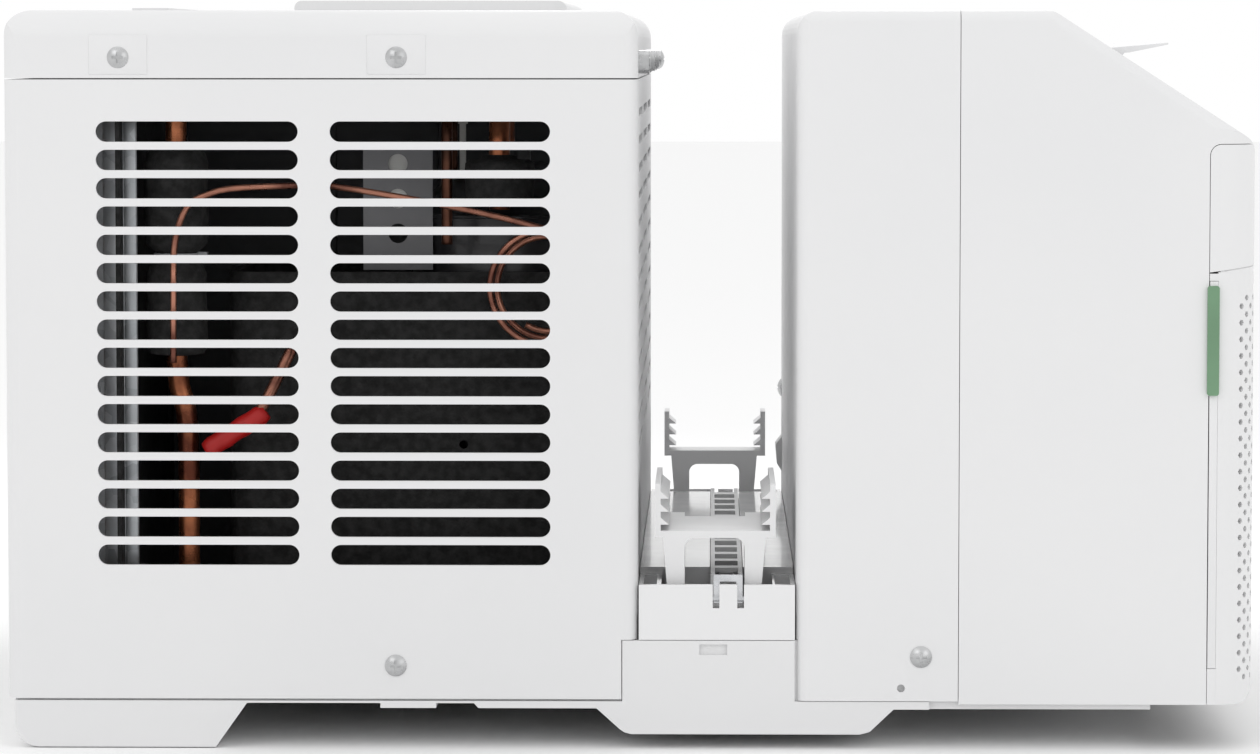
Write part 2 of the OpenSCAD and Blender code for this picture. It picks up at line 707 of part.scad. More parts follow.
// The hollow inside the indoor shells
module indoor_hollow() intersection() {
    across(unit_w - 2 * shell_wall) indoor_outline(shell_wall, shell_z0 - 20);
    span_z(-30, unit_h) indoor_plan(shell_wall);
}

module rear_shell() color(shell_white) difference() {
    union() {
        difference() {
            indoor_form();
            indoor_hollow();
        }
        on_side(1, gland_x, half_w - shell_wall - 3, gland_z) cylinder(r = 13, h = 3.5);
        span_y(212, 232) polygon([[gap_front_x + 1, 84], [gap_front_x - 2.6, 90], [gap_front_x - 3.4, 100],
            [gap_front_x + 1, 106]]);
    }
    block(shell_seam_x - 0.15, half_d + 5, -half_w - 5, half_w + 5, 0, unit_h + 5);
    block(gap_front_x - 1, shell_seam_x + 1, -half_w - 1, half_w + 1, 10, 21.3);
    block(gap_front_x - 1, gap_front_x + 4, -222, 222, 20, deck_z - 6);
    block(gap_front_x - 1, gap_front_x + 6, -half_w + shell_wall, half_w - shell_wall, 20, tray_top_z + 0.4);
    for (side = [-1, 1]) {
        on_side(side, shell_screw[0], half_w, shell_screw[1])
            cylinder(d = screw_shank_d + 0.3, h = 12, center = true);
        on_side(side, pilot_at[0], half_w, pilot_at[1]) cylinder(d = pilot_d, h = 12, center = true);
    }
    on_side(1, gland_x, half_w, gland_z) cylinder(d = 12.1, h = 20, center = true);
    translate([gap_front_x, gap_screw[0], gap_screw[1]]) rotate([0, 90, 0])
        cylinder(d = screw_shank_d + 0.3, h = 12, center = true);
}

outlet_s0 = 7.4;
outlet_s1 = 63.3;
outlet_half = 217.2;
panel_s0 = 65.5;
panel_s1 = 79.5;
panel_y0 = 30;
panel_y1 = 210;
pivot_depth = 7;
pin_r = 2.5;
panel_top_z = 270.5;
panel_round = 5;

// Side region of the front panel and the grille, with a rounded upper corner, grown by t
module front_outline(t) polygon(concat(
    [[panel_seam_x - t, 0], [half_d + 8, 0], [half_d + 8, panel_top_z + t]],
    arc(panel_seam_x + panel_round, panel_top_z - panel_round, panel_round + t, 90, 180, 6)
));

module front_shell() color(shell_white) difference() {
    indoor_form();
    indoor_hollow();
    on_slope() block(outlet_s0, outlet_s1, -outlet_half, outlet_half, -8, 20);
    on_slope() block(panel_s0 - 0.2, panel_s1 + 0.2, panel_y0 - 0.2, panel_y1 + 0.2, -8, 20);
    block(0, shell_seam_x + 0.15, -half_w - 5, half_w + 5, 0, unit_h + 5);
    across(unit_w + 10) front_outline(0.15);
}

// The part of the front above the seam with the grille, as an X-Z region
module above_seam(gap) polygon([[0, grille_seam_z - 1.3 + gap], [panel_seam_x, grille_seam_z - 1.3 + gap],
    [half_d + 2, grille_seam_z + 1.8 + gap], [half_d + 2, unit_h], [0, unit_h]]);

module front_panel() color(shell_white) intersection() {
    difference() {
        indoor_form();
        indoor_hollow();
    }
    across(unit_w + 4) intersection() {
        front_outline(-0.15);
        above_seam(0.25);
    }
}

filter_x = 259.9;
filter_z0 = 36.5;
filter_z1 = 209.5;
hole_rows = 8;
hole_cols = 20;
hole_pitch = 22;
hole_r = 6;

// The part of the front below the seam, as an X-Z region
module below_seam(gap) polygon([[panel_seam_x + 0.15, 0], [half_d + 2, 0],
    [half_d + 2, grille_seam_z + 1.8 - gap], [panel_seam_x + 0.15, grille_seam_z - 1.3 - gap]]);

module front_grille() color(shell_white) difference() {
    intersection() {
        difference() {
            indoor_form();
            indoor_hollow();
        }
        across(unit_w + 4) below_seam(0.25);
    }
    block(filter_x - 1.9, filter_x + 1.9, -half_w - 1, -half_w + 10, filter_z0 - 0.3, filter_z1 + 0.3);
    span_x(half_d - 10, half_d + 2)
        for (row = [0 : hole_rows - 1], col = [0 : hole_cols - 1])
            translate([(col - (hole_cols - 1) / 2 + (row % 2 - 0.5) / 2) * hole_pitch, 38 + row * hole_pitch])
                circle(r = hole_r, $fn = 6);
}

// ---------------------------------------------------------------- filter

filter_y0 = -half_w + 0.6;
filter_y1 = 226;
filter_rib = 8;
filter_cells = 5;
filter_cell = (filter_y1 - filter_y0 - filter_rib) / filter_cells;

module filter_frame() color(shell_white) span_x(filter_x - 1.6, filter_x + 1.6) difference() {
    translate([filter_y0, filter_z0]) square([filter_y1 - filter_y0, filter_z1 - filter_z0]);
    for (i = [0 : filter_cells - 1])
        translate([filter_y0 + filter_rib + i * filter_cell, filter_z0 + filter_rib])
            square([filter_cell - filter_rib, filter_z1 - filter_z0 - 2 * filter_rib]);
}

module filter_mesh() color(inner_grey) for (i = [0 : filter_cells - 1])
    block(filter_x - 0.3, filter_x + 0.3, filter_y0 + filter_rib + i * filter_cell,
        filter_y0 + (i + 1) * filter_cell, filter_z0 + filter_rib, filter_z1 - filter_rib);

module filter_tab() color(tab_green) {
    span_y(-half_w - 2, -half_w - 0.15) soft_rect(256.9, 262.2, 158.7, 207.6, 1.2, 1.2);
    block(filter_x - 1.5, filter_x + 1.5, -half_w - 0.3, filter_y0, 160, 206);
}

// ---------------------------------------------------------------- evaporator

evap_x = 222;
evap_t = 24;
evap_z0 = 64;
evap_z1 = 246;
evap_half = 213;
evap_pitch = (evap_z1 - evap_z0) / evaporator_rows;

module evaporator_coil() color(fin_silver)
    fin_pack(evap_x, evap_t, evap_half, evap_z0, evap_z1, evaporator_rows, evap_pitch);

module evaporator_tubes() color(copper)
    coil_tubes(evap_x, evap_t, evap_half, evap_z0, evaporator_rows, evap_pitch);

module evaporator_end_plates() color(galvanised)
    end_plates(evap_x, evap_t, evap_half, evap_z0, evap_z1, evaporator_rows, evap_pitch);

module drain_pan() color(foam_black) difference() {
    block(204, 254, -230, 230, 50, 63);
    block(206, 252, -228, 228, 52, 64);
}

// ---------------------------------------------------------------- blower, scroll and outlet

blower_s = 56.8;
blower_depth = 112;
blower_y0 = -205;
blower_y1 = 176;

// Places its children at the blower's axis, with z along +Y
module at_blower(y) on_slope() translate([blower_s, y, -blower_depth]) rotate([-90, 0, 0]) children();

module blower_wheel() color(motor_black) difference() {
    union() {
        for (y = [blower_y0, -78, 49, blower_y1 - 4]) at_blower(y) cylinder(r = blower_r, h = 4);
        for (i = [0 : blower_blades - 1]) at_blower(blower_y0) rotate([0, 0, i * 360 / blower_blades])
            translate([blower_r - 14, 0, 0]) rotate([0, 0, 28])
                block(0, 12, -0.6, 0.6, 1, blower_y1 - blower_y0 - 1);
        at_blower(blower_y0 - 13) cylinder(r = 3, h = 15);
        at_blower(blower_y1 - 20) cylinder(r = 10, h = 20);
    }
    at_blower(blower_y1 - 16) cylinder(r = shaft_r + 0.05, h = 30);
    for (y = [-78, 49]) at_blower(y - 1) cylinder(r = blower_r - 16, h = 6);
}

module blower_motor() color(inner_grey) {
    at_blower(190) cylinder(r = 34, h = 44);
    at_blower(blower_y1 - 14) cylinder(r = shaft_r, h = 30);
}

scroll_y0 = -219;
scroll_y1 = 186;
duct_end = 217;
front_s = 63.8;

wall_top = -3.3;
shelf_depth = -64;
scroll_r = 54.3;
tongue_r = 50;
scroll_t = 2;

// Rear wall of the duct and the scroll round the back of the blower, as one outline
module scroll_outline() polygon(concat(
    [[blower_s - scroll_r - scroll_t, wall_top]],
    arc(blower_s, -blower_depth, scroll_r + scroll_t, 180, 318, 24),
    arc(blower_s, -blower_depth, scroll_r, 318, 180, 24),
    [[blower_s - scroll_r, wall_top]]
));

// Front wall of the duct and the tongue over the blower, as one outline
module tongue_outline() polygon(concat(
    [[front_s, wall_top]],
    arc(blower_s, -blower_depth, tongue_r, 82, 46, 6),
    arc(blower_s, -blower_depth, tongue_r + scroll_t, 46, 80, 6),
    [[front_s + scroll_t, wall_top]]
));

// End wall of the blower housing, up to the given depth at its top
module end_wall_outline(top) polygon(concat(
    [[blower_s - 58, top]],
    arc(blower_s, -blower_depth, 58, 180, 360, 24),
    [[blower_s + 58, shelf_depth], [front_s + 3, shelf_depth], [front_s + 3, top]]
));

module air_scroll() color(inner_grey) difference() {
    on_slope() air_housing();
    block(evap_x - 1.7, half_d, -half_w, half_w, 0, evap_z1 + 3);
}

// The scroll, the duct and their end walls before they are cut back to clear the evaporator
module air_housing() difference() {
    union() {
        span_y(scroll_y0 + 1, scroll_y1 - 1) scroll_outline();
        span_y(scroll_y1 - 3, duct_end + 1) translate([blower_s - scroll_r - scroll_t, shelf_depth - 1])
            square([scroll_t, wall_top - shelf_depth + 1]);
        span_y(scroll_y0 + 1, scroll_y1 - 1) tongue_outline();
        span_y(scroll_y1 - 3, duct_end + 1) translate([front_s, shelf_depth - 1])
            square([scroll_t, wall_top - shelf_depth + 1]);
        span_y(scroll_y0, scroll_y0 + 2) end_wall_outline(wall_top - 0.4);
        span_y(scroll_y1 - 2, scroll_y1) end_wall_outline(shelf_depth);
        block(0, front_s + 3, scroll_y1 - 1, duct_end + 2, shelf_depth - 2, shelf_depth);
        block(0, front_s + 3, duct_end, duct_end + 2, shelf_depth - 1, wall_top - 0.4);
        block(28, 38, scroll_y0 + 1, duct_end + 1, -61, -57);
    }
    translate([flap_pivot, 0, -pivot_depth]) rotate([90, 0, 0])
        cylinder(r = pin_r + 0.06, h = 2 * duct_end + 10, center = true);
    translate([blower_s, scroll_y0 - 1, -blower_depth]) rotate([-90, 0, 0]) cylinder(r = 3.06, h = 4);
    translate([blower_s, scroll_y1 - 3, -blower_depth]) rotate([-90, 0, 0]) cylinder(r = 12, h = 4);
    for (i = [0 : vane_count - 1]) translate([33, (i - 2) * vane_pitch, -62]) cylinder(r = 2.06, h = 8);
}

flap_front = 29.6;
flap_rear = 24;
flap_half = 216.4;

module louver_flap() color(shell_white) on_slope() translate([flap_pivot, 0, -pivot_depth])
    rotate([0, -flap_open, 0]) {
        span_y(-flap_half, flap_half) polygon([[-flap_rear, pivot_depth], [flap_front, pivot_depth],
            [flap_front, pivot_depth - 0.8], [12, 4.2], [-10, 4.2], [-flap_rear, pivot_depth - 1.4]]);
        for (side = [-1, 1]) {
            translate([0, side * (flap_half - 2.5), 0]) across(5)
                polygon([[-10, 4.5], [-3, -3.5], [3, -3.5], [10, 4.5]]);
            translate([0, side * (flap_half + 2), 0]) rotate([90, 0, 0])
                cylinder(r = pin_r, h = 5, center = true);
        }
    }

vane_link_arm = 12;

module vane(i) color(inner_grey) on_slope() translate([33, (i - 3) * vane_pitch, 0]) {
    block(-17, 17, -0.7, 0.7, -54, -26);
    translate([0, 0, -60.5]) cylinder(r = 2, h = 8);
    translate([vane_link_arm, 0, -58.5]) cylinder(r = 1.2, h = 6);
}

module vane_1() vane(1);
module vane_2() vane(2);
module vane_3() vane(3);
module vane_4() vane(4);
module vane_5() vane(5);

module vane_link() color(inner_grey) on_slope() difference() {
    block(28 + vane_link_arm, 38 + vane_link_arm, -2 * vane_pitch - 8, 2 * vane_pitch + 8, -59, -56.6);
    for (i = [0 : vane_count - 1])
        block(33 + vane_link_arm - 2.8, 33 + vane_link_arm + 1.6, (i - 2) * vane_pitch - 1.5,
            (i - 2) * vane_pitch + 1.5, -60, -56);
}

// ---------------------------------------------------------------- controls

button_r = 4.5;
button_gap = 16;
button_y0 = 50;
button_s = (panel_s0 + panel_s1) / 2;
lens_y0 = 142;
lens_y1 = 196;

module control_panel() color(shell_white) on_slope() difference() {
    block(panel_s0, panel_s1, panel_y0, panel_y1, -2.5, 0);
    for (i = [0 : 4])
        translate([button_s, button_y0 + i * button_gap, -4]) cylinder(r = button_r + 0.3, h = 6);
    block(panel_s0 + 2, panel_s1 - 2, lens_y0, lens_y1, -4, 1);
}

module display_lens() color(lens_dark) on_slope()
    block(panel_s0 + 2.1, panel_s1 - 2.1, lens_y0 + 0.1, lens_y1 - 0.1, -2.4, 0.15);

module button(i) color(shell_white) on_slope() translate([button_s, button_y0 + (i - 1) * button_gap, 0]) {
    translate([0, 0, -2.6]) cylinder(r = button_r, h = 3.4);
    translate([0, 0, -4.4]) cylinder(r = 1.6, h = 2);
}

module button_1() button(1);
module button_2() button(2);
module button_3() button(3);
module button_4() button(4);
module button_5() button(5);

module control_board() color(board_green) on_slope() {
    block(panel_s0 + 2, panel_s1 - 1, panel_y0 - 4, panel_y1 + 2, -9, -7.4);
    for (i = [0 : 4]) translate([button_s, button_y0 + i * button_gap, -7.5]) cylinder(r = 2.6, h = 1.6);
}

module cord_gland() color(motor_black) on_side(1, gland_x, half_w, gland_z) difference() {
    union() {
        cylinder(d = 18, h = 2.2);
        translate([0, 0, -14]) cylinder(d = 12, h = 15);
    }
    translate([0, 0, -15]) cylinder(d = 7.4, h = 30);
}

module shell_screws() color(steel) {
    for (side = [-1, 1]) on_side(side, shell_screw[0], half_w, shell_screw[1]) screw(6);
    translate([gap_front_x, gap_screw[0], gap_screw[1]]) rotate([0, -90, 0]) screw(6);
}

base_pan();
drain_plug();
outdoor_casing();
top_cover();
rear_grille();
condenser_coil();
condenser_end_plates();
condenser_tubes();
fan_shroud();
condenser_fan();
fan_motor();
motor_bracket();
compressor();
compressor_feet();
compressor_jacket();
pipe_insulation();
cable_tie();
suction_pipe();
discharge_pipes();
capillary_tube();
red_sleeve();
pipe_bracket();
inverter_box();
casing_screws();
bridge_cover();
bracket_rail();
near_bracket();
far_bracket();
rail_latch();
rear_shell();
front_shell();
front_panel();
front_grille();
filter_frame();
filter_mesh();
filter_tab();
evaporator_coil();
evaporator_end_plates();
evaporator_tubes();
drain_pan();
blower_wheel();
blower_motor();
air_scroll();
louver_flap();
vane_1();
vane_2();
vane_3();
vane_4();
vane_5();
vane_link();
control_panel();
display_lens();
button_1();
button_2();
button_3();
button_4();
button_5();
control_board();
cord_gland();
shell_screws();
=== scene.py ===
"""Looks of a saddle window air conditioner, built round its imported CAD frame. Metres, +Z up."""
import json
import math

import bmesh
import bpy
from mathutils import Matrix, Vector, noise


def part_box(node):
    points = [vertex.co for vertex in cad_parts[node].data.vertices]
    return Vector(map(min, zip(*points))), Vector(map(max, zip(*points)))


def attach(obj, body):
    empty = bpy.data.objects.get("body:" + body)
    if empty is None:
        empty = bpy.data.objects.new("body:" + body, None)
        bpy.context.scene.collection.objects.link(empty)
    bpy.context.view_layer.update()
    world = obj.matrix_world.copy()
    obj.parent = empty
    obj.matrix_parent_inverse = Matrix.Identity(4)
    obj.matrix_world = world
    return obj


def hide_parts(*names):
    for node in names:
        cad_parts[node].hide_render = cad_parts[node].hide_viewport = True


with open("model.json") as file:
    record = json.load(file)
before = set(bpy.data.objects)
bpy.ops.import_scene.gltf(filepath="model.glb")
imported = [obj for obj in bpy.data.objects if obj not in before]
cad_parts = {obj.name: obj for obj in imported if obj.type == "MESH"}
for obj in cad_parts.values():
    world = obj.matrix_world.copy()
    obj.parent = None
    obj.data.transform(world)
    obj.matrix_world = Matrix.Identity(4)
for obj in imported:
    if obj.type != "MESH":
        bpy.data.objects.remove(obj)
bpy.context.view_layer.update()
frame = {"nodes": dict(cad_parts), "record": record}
MM = 0.001
NODES = frame["nodes"]
RECORD = frame["record"]
CHASSIS = "chassis"


# ------------------------------------------------------------------ camera, floor and light

CAMERA_AT = Vector((0.0364, -2.462, 0.314))
CAMERA_AIM = Vector((0.0, -0.2435, 0.1667))
CAMERA_LENS = 142.4
SENSOR_WIDTH = 36
FLOOR_REACH = 14
FLOOR_DROP = 0.0005


def aim(obj, target):
    """Turns an object so that its -Z looks at the target."""
    obj.rotation_euler = (Vector(target) - obj.location).to_track_quat("-Z", "Y").to_euler()


def add_camera():
    """The view from the near side, a little above the unit's middle."""
    data = bpy.data.cameras.new("camera")
    data.lens = CAMERA_LENS
    data.sensor_width = SENSOR_WIDTH
    camera = bpy.data.objects.new("camera", data)
    bpy.context.scene.collection.objects.link(camera)
    camera.location = CAMERA_AT
    aim(camera, CAMERA_AIM)
    bpy.context.scene.camera = camera


def add_light(name, place, target, size, power):
    """A rectangular area light of a given width and height."""
    data = bpy.data.lights.new(name, "AREA")
    data.shape = "RECTANGLE"
    data.size, data.size_y = size
    data.energy = power
    light = bpy.data.objects.new(name, data)
    bpy.context.scene.collection.objects.link(light)
    light.location = place
    aim(light, target)


def add_world(colour, strength):
    """An even background."""
    world = bpy.data.worlds.new("studio")
    world.use_nodes = True
    background = world.node_tree.nodes["Background"]
    background.inputs["Color"].default_value = (*colour, 1)
    background.inputs["Strength"].default_value = strength
    bpy.context.scene.world = world


def add_floor(material):
    """A plain sheet just under the unit's feet."""
    mesh = bpy.data.meshes.new("floor")
    near, far = -FLOOR_REACH, FLOOR_REACH
    mesh.from_pydata([(near, near, 0), (far, near, 0), (far, far, 0), (near, far, 0)], [], [(0, 1, 2, 3)])
    floor = bpy.data.objects.new("floor", mesh)
    mesh.materials.append(material)
    bpy.context.scene.collection.objects.link(floor)
    floor.location.z = -FLOOR_DROP


# ------------------------------------------------------------------ materials

def shader_of(material):
    return material.node_tree.nodes["Principled BSDF"]


def new_material(name, colour, roughness, metallic=0.0, specular=0.5, coat=0.0):
    material = bpy.data.materials.new(name)
    material.use_nodes = True
    shader = shader_of(material)
    shader.inputs["Base Color"].default_value = (*colour, 1)
    shader.inputs["Roughness"].default_value = roughness
    shader.inputs["Metallic"].default_value = metallic
    shader.inputs["Specular IOR Level"].default_value = specular
    shader.inputs["Coat Weight"].default_value = coat
    return material


def add_node(material, kind, **inputs):
    """A shader node with some of its inputs set; an underscore stands for a space."""
    node = material.node_tree.nodes.new(kind)
    for key, value in inputs.items():
        node.inputs[key.replace("_", " ")].default_value = value
    return node


def join(material, source, output, target, target_input):
    material.node_tree.links.new(source.outputs[output], target.inputs[target_input])


def join_ramp(material, source, output, dark, light, low=0.0, high=1.0):
    """Drives the base colour between two tones from a node's output."""
    ramp = material.node_tree.nodes.new("ShaderNodeValToRGB")
    for element, place, colour in zip(ramp.color_ramp.elements, (low, high), (dark, light)):
        element.position = place
        element.color = (*colour, 1)
    join(material, source, output, ramp, "Fac")
    join(material, ramp, "Color", shader_of(material), "Base Color")


def noise_of(material, scale, detail=4.0):
    """A noise texture in object coordinates, which are metres on every piece."""
    place = material.node_tree.nodes.new("ShaderNodeTexCoord")
    texture = add_node(material, "ShaderNodeTexNoise", Scale=scale, Detail=detail)
    join(material, place, "Object", texture, "Vector")
    return texture


def add_tone(material, scale, dark, light, low=0.35, high=0.65):
    """Varies the base colour between two tones."""
    join_ramp(material, noise_of(material, scale), "Fac", dark, light, low, high)


def add_rough(material, scale, low, high):
    """Varies the roughness between two values."""
    texture = noise_of(material, scale)
    span = add_node(material, "ShaderNodeMapRange", From_Min=0.3, From_Max=0.7, To_Min=low, To_Max=high)
    join(material, texture, "Fac", span, "Value")
    join(material, span, "Result", shader_of(material), "Roughness")


def add_bump(material, scale, strength, depth, detail=4.0):
    """Fine relief; depth is in metres."""
    texture = noise_of(material, scale, detail)
    bump = add_node(material, "ShaderNodeBump", Strength=strength, Distance=depth)
    join(material, texture, "Fac", bump, "Height")
    join(material, bump, "Normal", shader_of(material), "Normal")


def white_plastic(name, tone, roughness, grain, coat=0.0):
    """Moulded white plastic: a faint drift of tone, and a fine spark-eroded grain."""
    material = new_material(name, (tone, tone, tone), roughness, coat=coat)
    low = tuple(tone * k for k in (0.975, 0.977, 0.985))
    high = (tone, tone, tone * 1.005)
    add_tone(material, 6, low, high)
    add_rough(material, 40, roughness - 0.03, roughness + 0.04)
    add_bump(material, 1400, 0.35, grain)
    return material


def zinc(name):
    """Galvanised sheet with its crystal spangle."""
    material = new_material(name, (0.5, 0.52, 0.54), 0.42, metallic=0.85)
    place = material.node_tree.nodes.new("ShaderNodeTexCoord")
    cells = add_node(material, "ShaderNodeTexVoronoi", Scale=140)
    join(material, place, "Object", cells, "Vector")
    join_ramp(material, cells, "Color", (0.36, 0.38, 0.40), (0.62, 0.64, 0.66))
    add_rough(material, 90, 0.34, 0.52)
    add_bump(material, 300, 0.2, 0.0001)
    return material


def copper_metal(name, dark, light):
    """Drawn copper pipe, tarnished in patches."""
    material = new_material(name, light, 0.3, metallic=0.9)
    add_tone(material, 55, dark, light, 0.38, 0.6)
    add_rough(material, 120, 0.22, 0.45)
    add_bump(material, 400, 0.25, 0.0001)
    return material


def foam(name, tone):
    """Soft closed-cell foam."""
    material = new_material(name, (tone, tone, tone), 0.85, specular=0.3)
    add_tone(material, 220, (tone * 0.6,) * 3, (tone * 1.5,) * 3)
    add_bump(material, 900, 0.6, 0.0006)
    return material


def coated(name, colour, roughness, grain=0.00008, scale=900, coat=0.0):
    """Painted, rubbery or plain plastic finishes."""
    material = new_material(name, colour, roughness, coat=coat)
    dark = tuple(c * 0.9 for c in colour)
    light = tuple(min(1, c * 1.06) for c in colour)
    add_tone(material, 30, dark, light)
    add_rough(material, 60, roughness - 0.05, roughness + 0.07)
    add_bump(material, scale, 0.3, grain)
    return material


def brushed(name, colour, roughness):
    """Bare metal with a fine drawn surface."""
    material = new_material(name, colour, roughness, metallic=1.0)
    add_tone(material, 150, tuple(c * 0.82 for c in colour), colour)
    add_rough(material, 260, roughness - 0.06, roughness + 0.12)
    add_bump(material, 1200, 0.2, 0.00004)
    return material


MATERIALS = {
    "shell_white": white_plastic("shell_white", 0.75, 0.40, 0.00003),
    "case_white": white_plastic("case_white", 0.74, 0.46, 0.00004),
    "pan_white": white_plastic("pan_white", 0.73, 0.46, 0.00004),
    "deck_white": white_plastic("deck_white", 0.76, 0.14, 0.00001, coat=0.4),
    "bracket_white": white_plastic("bracket_white", 0.74, 0.36, 0.00002),
    "galvanised": zinc("galvanised"),
    "fin_silver": brushed("fin_silver", (0.70, 0.72, 0.74), 0.36),
    "copper": copper_metal("copper", (0.18, 0.07, 0.05), (0.50, 0.225, 0.155)),
    "foam_black": foam("foam_black", 0.019),
    "motor_black": coated("motor_black", (0.018, 0.018, 0.02), 0.34, coat=0.2),
    "inner_grey": coated("inner_grey", (0.30, 0.31, 0.32), 0.5),
    "motor_grey": coated("motor_grey", (0.22, 0.225, 0.235), 0.4),
    "mesh_grey": coated("mesh_grey", (0.16, 0.165, 0.175), 0.6),
    "tab_green": coated("tab_green", (0.15, 0.28, 0.165), 0.42),
    "sleeve_red": coated("sleeve_red", (0.52, 0.012, 0.011), 0.45),
    "screw_steel": brushed("screw_steel", (0.55, 0.555, 0.56), 0.28),
    "latch_chrome": brushed("latch_chrome", (0.66, 0.67, 0.69), 0.24),
    "board_green": coated("board_green", (0.02, 0.12, 0.05), 0.35),
    "lens_dark": coated("lens_dark", (0.006, 0.006, 0.008), 0.08, grain=0.00001, coat=0.5),
}
# Pale nylon on the hooked strip; on the bracket pad the same pale colour is painted light, standing in for
# the light seen through the bracket's holes.
NYLON_AND_PAINTED_LIGHT = coated("nylon_and_painted_light", (0.60, 0.60, 0.58), 0.4)
BROWN_COPPER = copper_metal("brown_copper", (0.12, 0.035, 0.02), (0.42, 0.15, 0.07))
DARK_COPPER = copper_metal("dark_copper", (0.035, 0.018, 0.012), (0.13, 0.055, 0.035))
# Painted shade: the pipe bracket's zinc is darkened to the grey it shows in the dim inside of the unit.
SHADED_ZINC = coated("painted_shade_zinc", (0.20, 0.20, 0.21), 0.42)
PARTITION_GREY = coated("partition_grey", (0.05, 0.051, 0.055), 0.5)
NODE_SHADED_MATERIAL = {"pipe_bracket": SHADED_ZINC}


def finish_cad_nodes():
    """Gives every CAD node its slot's material, or its own material where it has one; the pipe bracket's is
    zinc darkened with painted shade.
    """
    for part in RECORD["subparts"]:
        node = NODES[part["node"]]
        material = NODE_SHADED_MATERIAL.get(part["node"], MATERIALS[part["material_slot"]])
        for place in node.material_slots:
            place.material = material


# ------------------------------------------------------------------ piece makers

def add_piece(obj, slot, body, *replaced, material=None):
    """Finishes a piece and hangs it on its body."""
    obj.data.materials.clear()
    obj.data.materials.append(material or MATERIALS[slot])
    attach(obj, body)
    if replaced:
        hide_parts(*replaced)
    return obj


def link_mesh(name, mesh):
    obj = bpy.data.objects.new(name, mesh)
    bpy.context.scene.collection.objects.link(obj)
    return obj


def mesh_object(name, verts, faces, smooth=True):
    mesh = bpy.data.meshes.new(name)
    mesh.from_pydata([tuple(v) for v in verts], [], faces)
    mesh.validate()
    if smooth:
        mesh.shade_smooth()
    return link_mesh(name, mesh)


def apply_modifier(obj, kind, **settings):
    modifier = obj.modifiers.new(kind.lower(), kind)
    for key, value in settings.items():
        setattr(modifier, key, value)
    bpy.context.view_layer.objects.active = obj
    bpy.ops.object.modifier_apply(modifier=modifier.name)


def resample(points, step):
    """Catmull-Rom points along a route, about a step apart."""
    points = [Vector(p) for p in points]
    ends = [2 * points[0] - points[1]] + points + [2 * points[-1] - points[-2]]
    out = []
    for i in range(1, len(ends) - 2):
        p0, p1, p2, p3 = ends[i - 1:i + 3]
        count = max(1, round((p2 - p1).length / step))
        for k in range(count):
            t = k / count
            out.append(0.5 * ((2 * p1) + (p2 - p0) * t + (2 * p0 - 5 * p1 + 4 * p2 - p3) * t * t
                              + (3 * p1 - p0 - 3 * p2 + p3) * t * t * t))
    return out + [points[-1]]


def closed_ring_faces(rings, sides):
    """Faces that join rings of vertices one after another, closed at both ends."""
    faces = []
    for i in range(rings - 1):
        for j in range(sides):
            k = (j + 1) % sides
            faces.append((i * sides + j, i * sides + k, (i + 1) * sides + k, (i + 1) * sides + j))
    last = (rings - 1) * sides
    faces.append(tuple(range(sides - 1, -1, -1)))
    faces.append(tuple(last + j for j in range(sides)))
    return faces


def tube_object(name, route, radius, sides, step, swell=None):
    """A closed tube along a route in millimetres; swell(share, angle) scales its radius."""
    path = resample([Vector(p) * MM for p in route], step * MM)
    verts = []
    side = None
    for i, p in enumerate(path):
        ahead = (path[min(i + 1, len(path) - 1)] - path[max(i - 1, 0)]).normalized()
        if side is None:
            side = ahead.orthogonal().normalized()
        side = (side - ahead * side.dot(ahead)).normalized()
        up = ahead.cross(side)
        for j in range(sides):
            a = 2 * math.pi * j / sides
            r = radius * MM * (swell(i / (len(path) - 1), a) if swell else 1)
            verts.append(p + r * (math.cos(a) * side + math.sin(a) * up))
    return mesh_object(name, verts, closed_ring_faces(len(path), sides))


def lathe_object(name, centre, profile, sides):
    """A closed turned form about an upright axis; profile is (radius, height) in millimetres."""
    verts = []
    for r, z in profile:
        for j in range(sides):
            a = 2 * math.pi * j / sides
            verts.append(Vector((centre[0] + r * math.cos(a), centre[1] + r * math.sin(a), z)) * MM)
    return mesh_object(name, verts, closed_ring_faces(len(profile), sides))


def round_box(name, x, y, z, radius, segments=3):
    """A box between (low, high) pairs in millimetres, with rounded edges."""
    spans = (x, y, z)
    mesh = bpy.data.meshes.new(name)
    form = bmesh.new()
    bmesh.ops.create_cube(form, size=1)
    for v in form.verts:
        place = [(low + high) / 2 + c * (high - low) for c, (low, high) in zip(v.co, spans)]
        v.co = Vector(place) * MM
    bmesh.ops.bevel(form, geom=form.edges[:], offset=radius * MM, segments=segments, affect="EDGES",
                    profile=0.5)
    form.to_mesh(mesh)
    form.free()
    mesh.shade_smooth()
    return link_mesh(name, mesh)


def join_objects(name, objects):
    """Joins meshes into one object, keeping their places."""
    form = bmesh.new()
    for obj in objects:
        form.from_mesh(obj.data)
    mesh = bpy.data.meshes.new(name)
    form.to_mesh(mesh)
    form.free()
    for obj in objects:
        bpy.data.objects.remove(obj)
    return link_mesh(name, mesh)


# ------------------------------------------------------------------ front grille

def node_mm(name):
    """Low and high corners of a CAD node, in millimetres."""
    low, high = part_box(name)
    return low / MM, high / MM


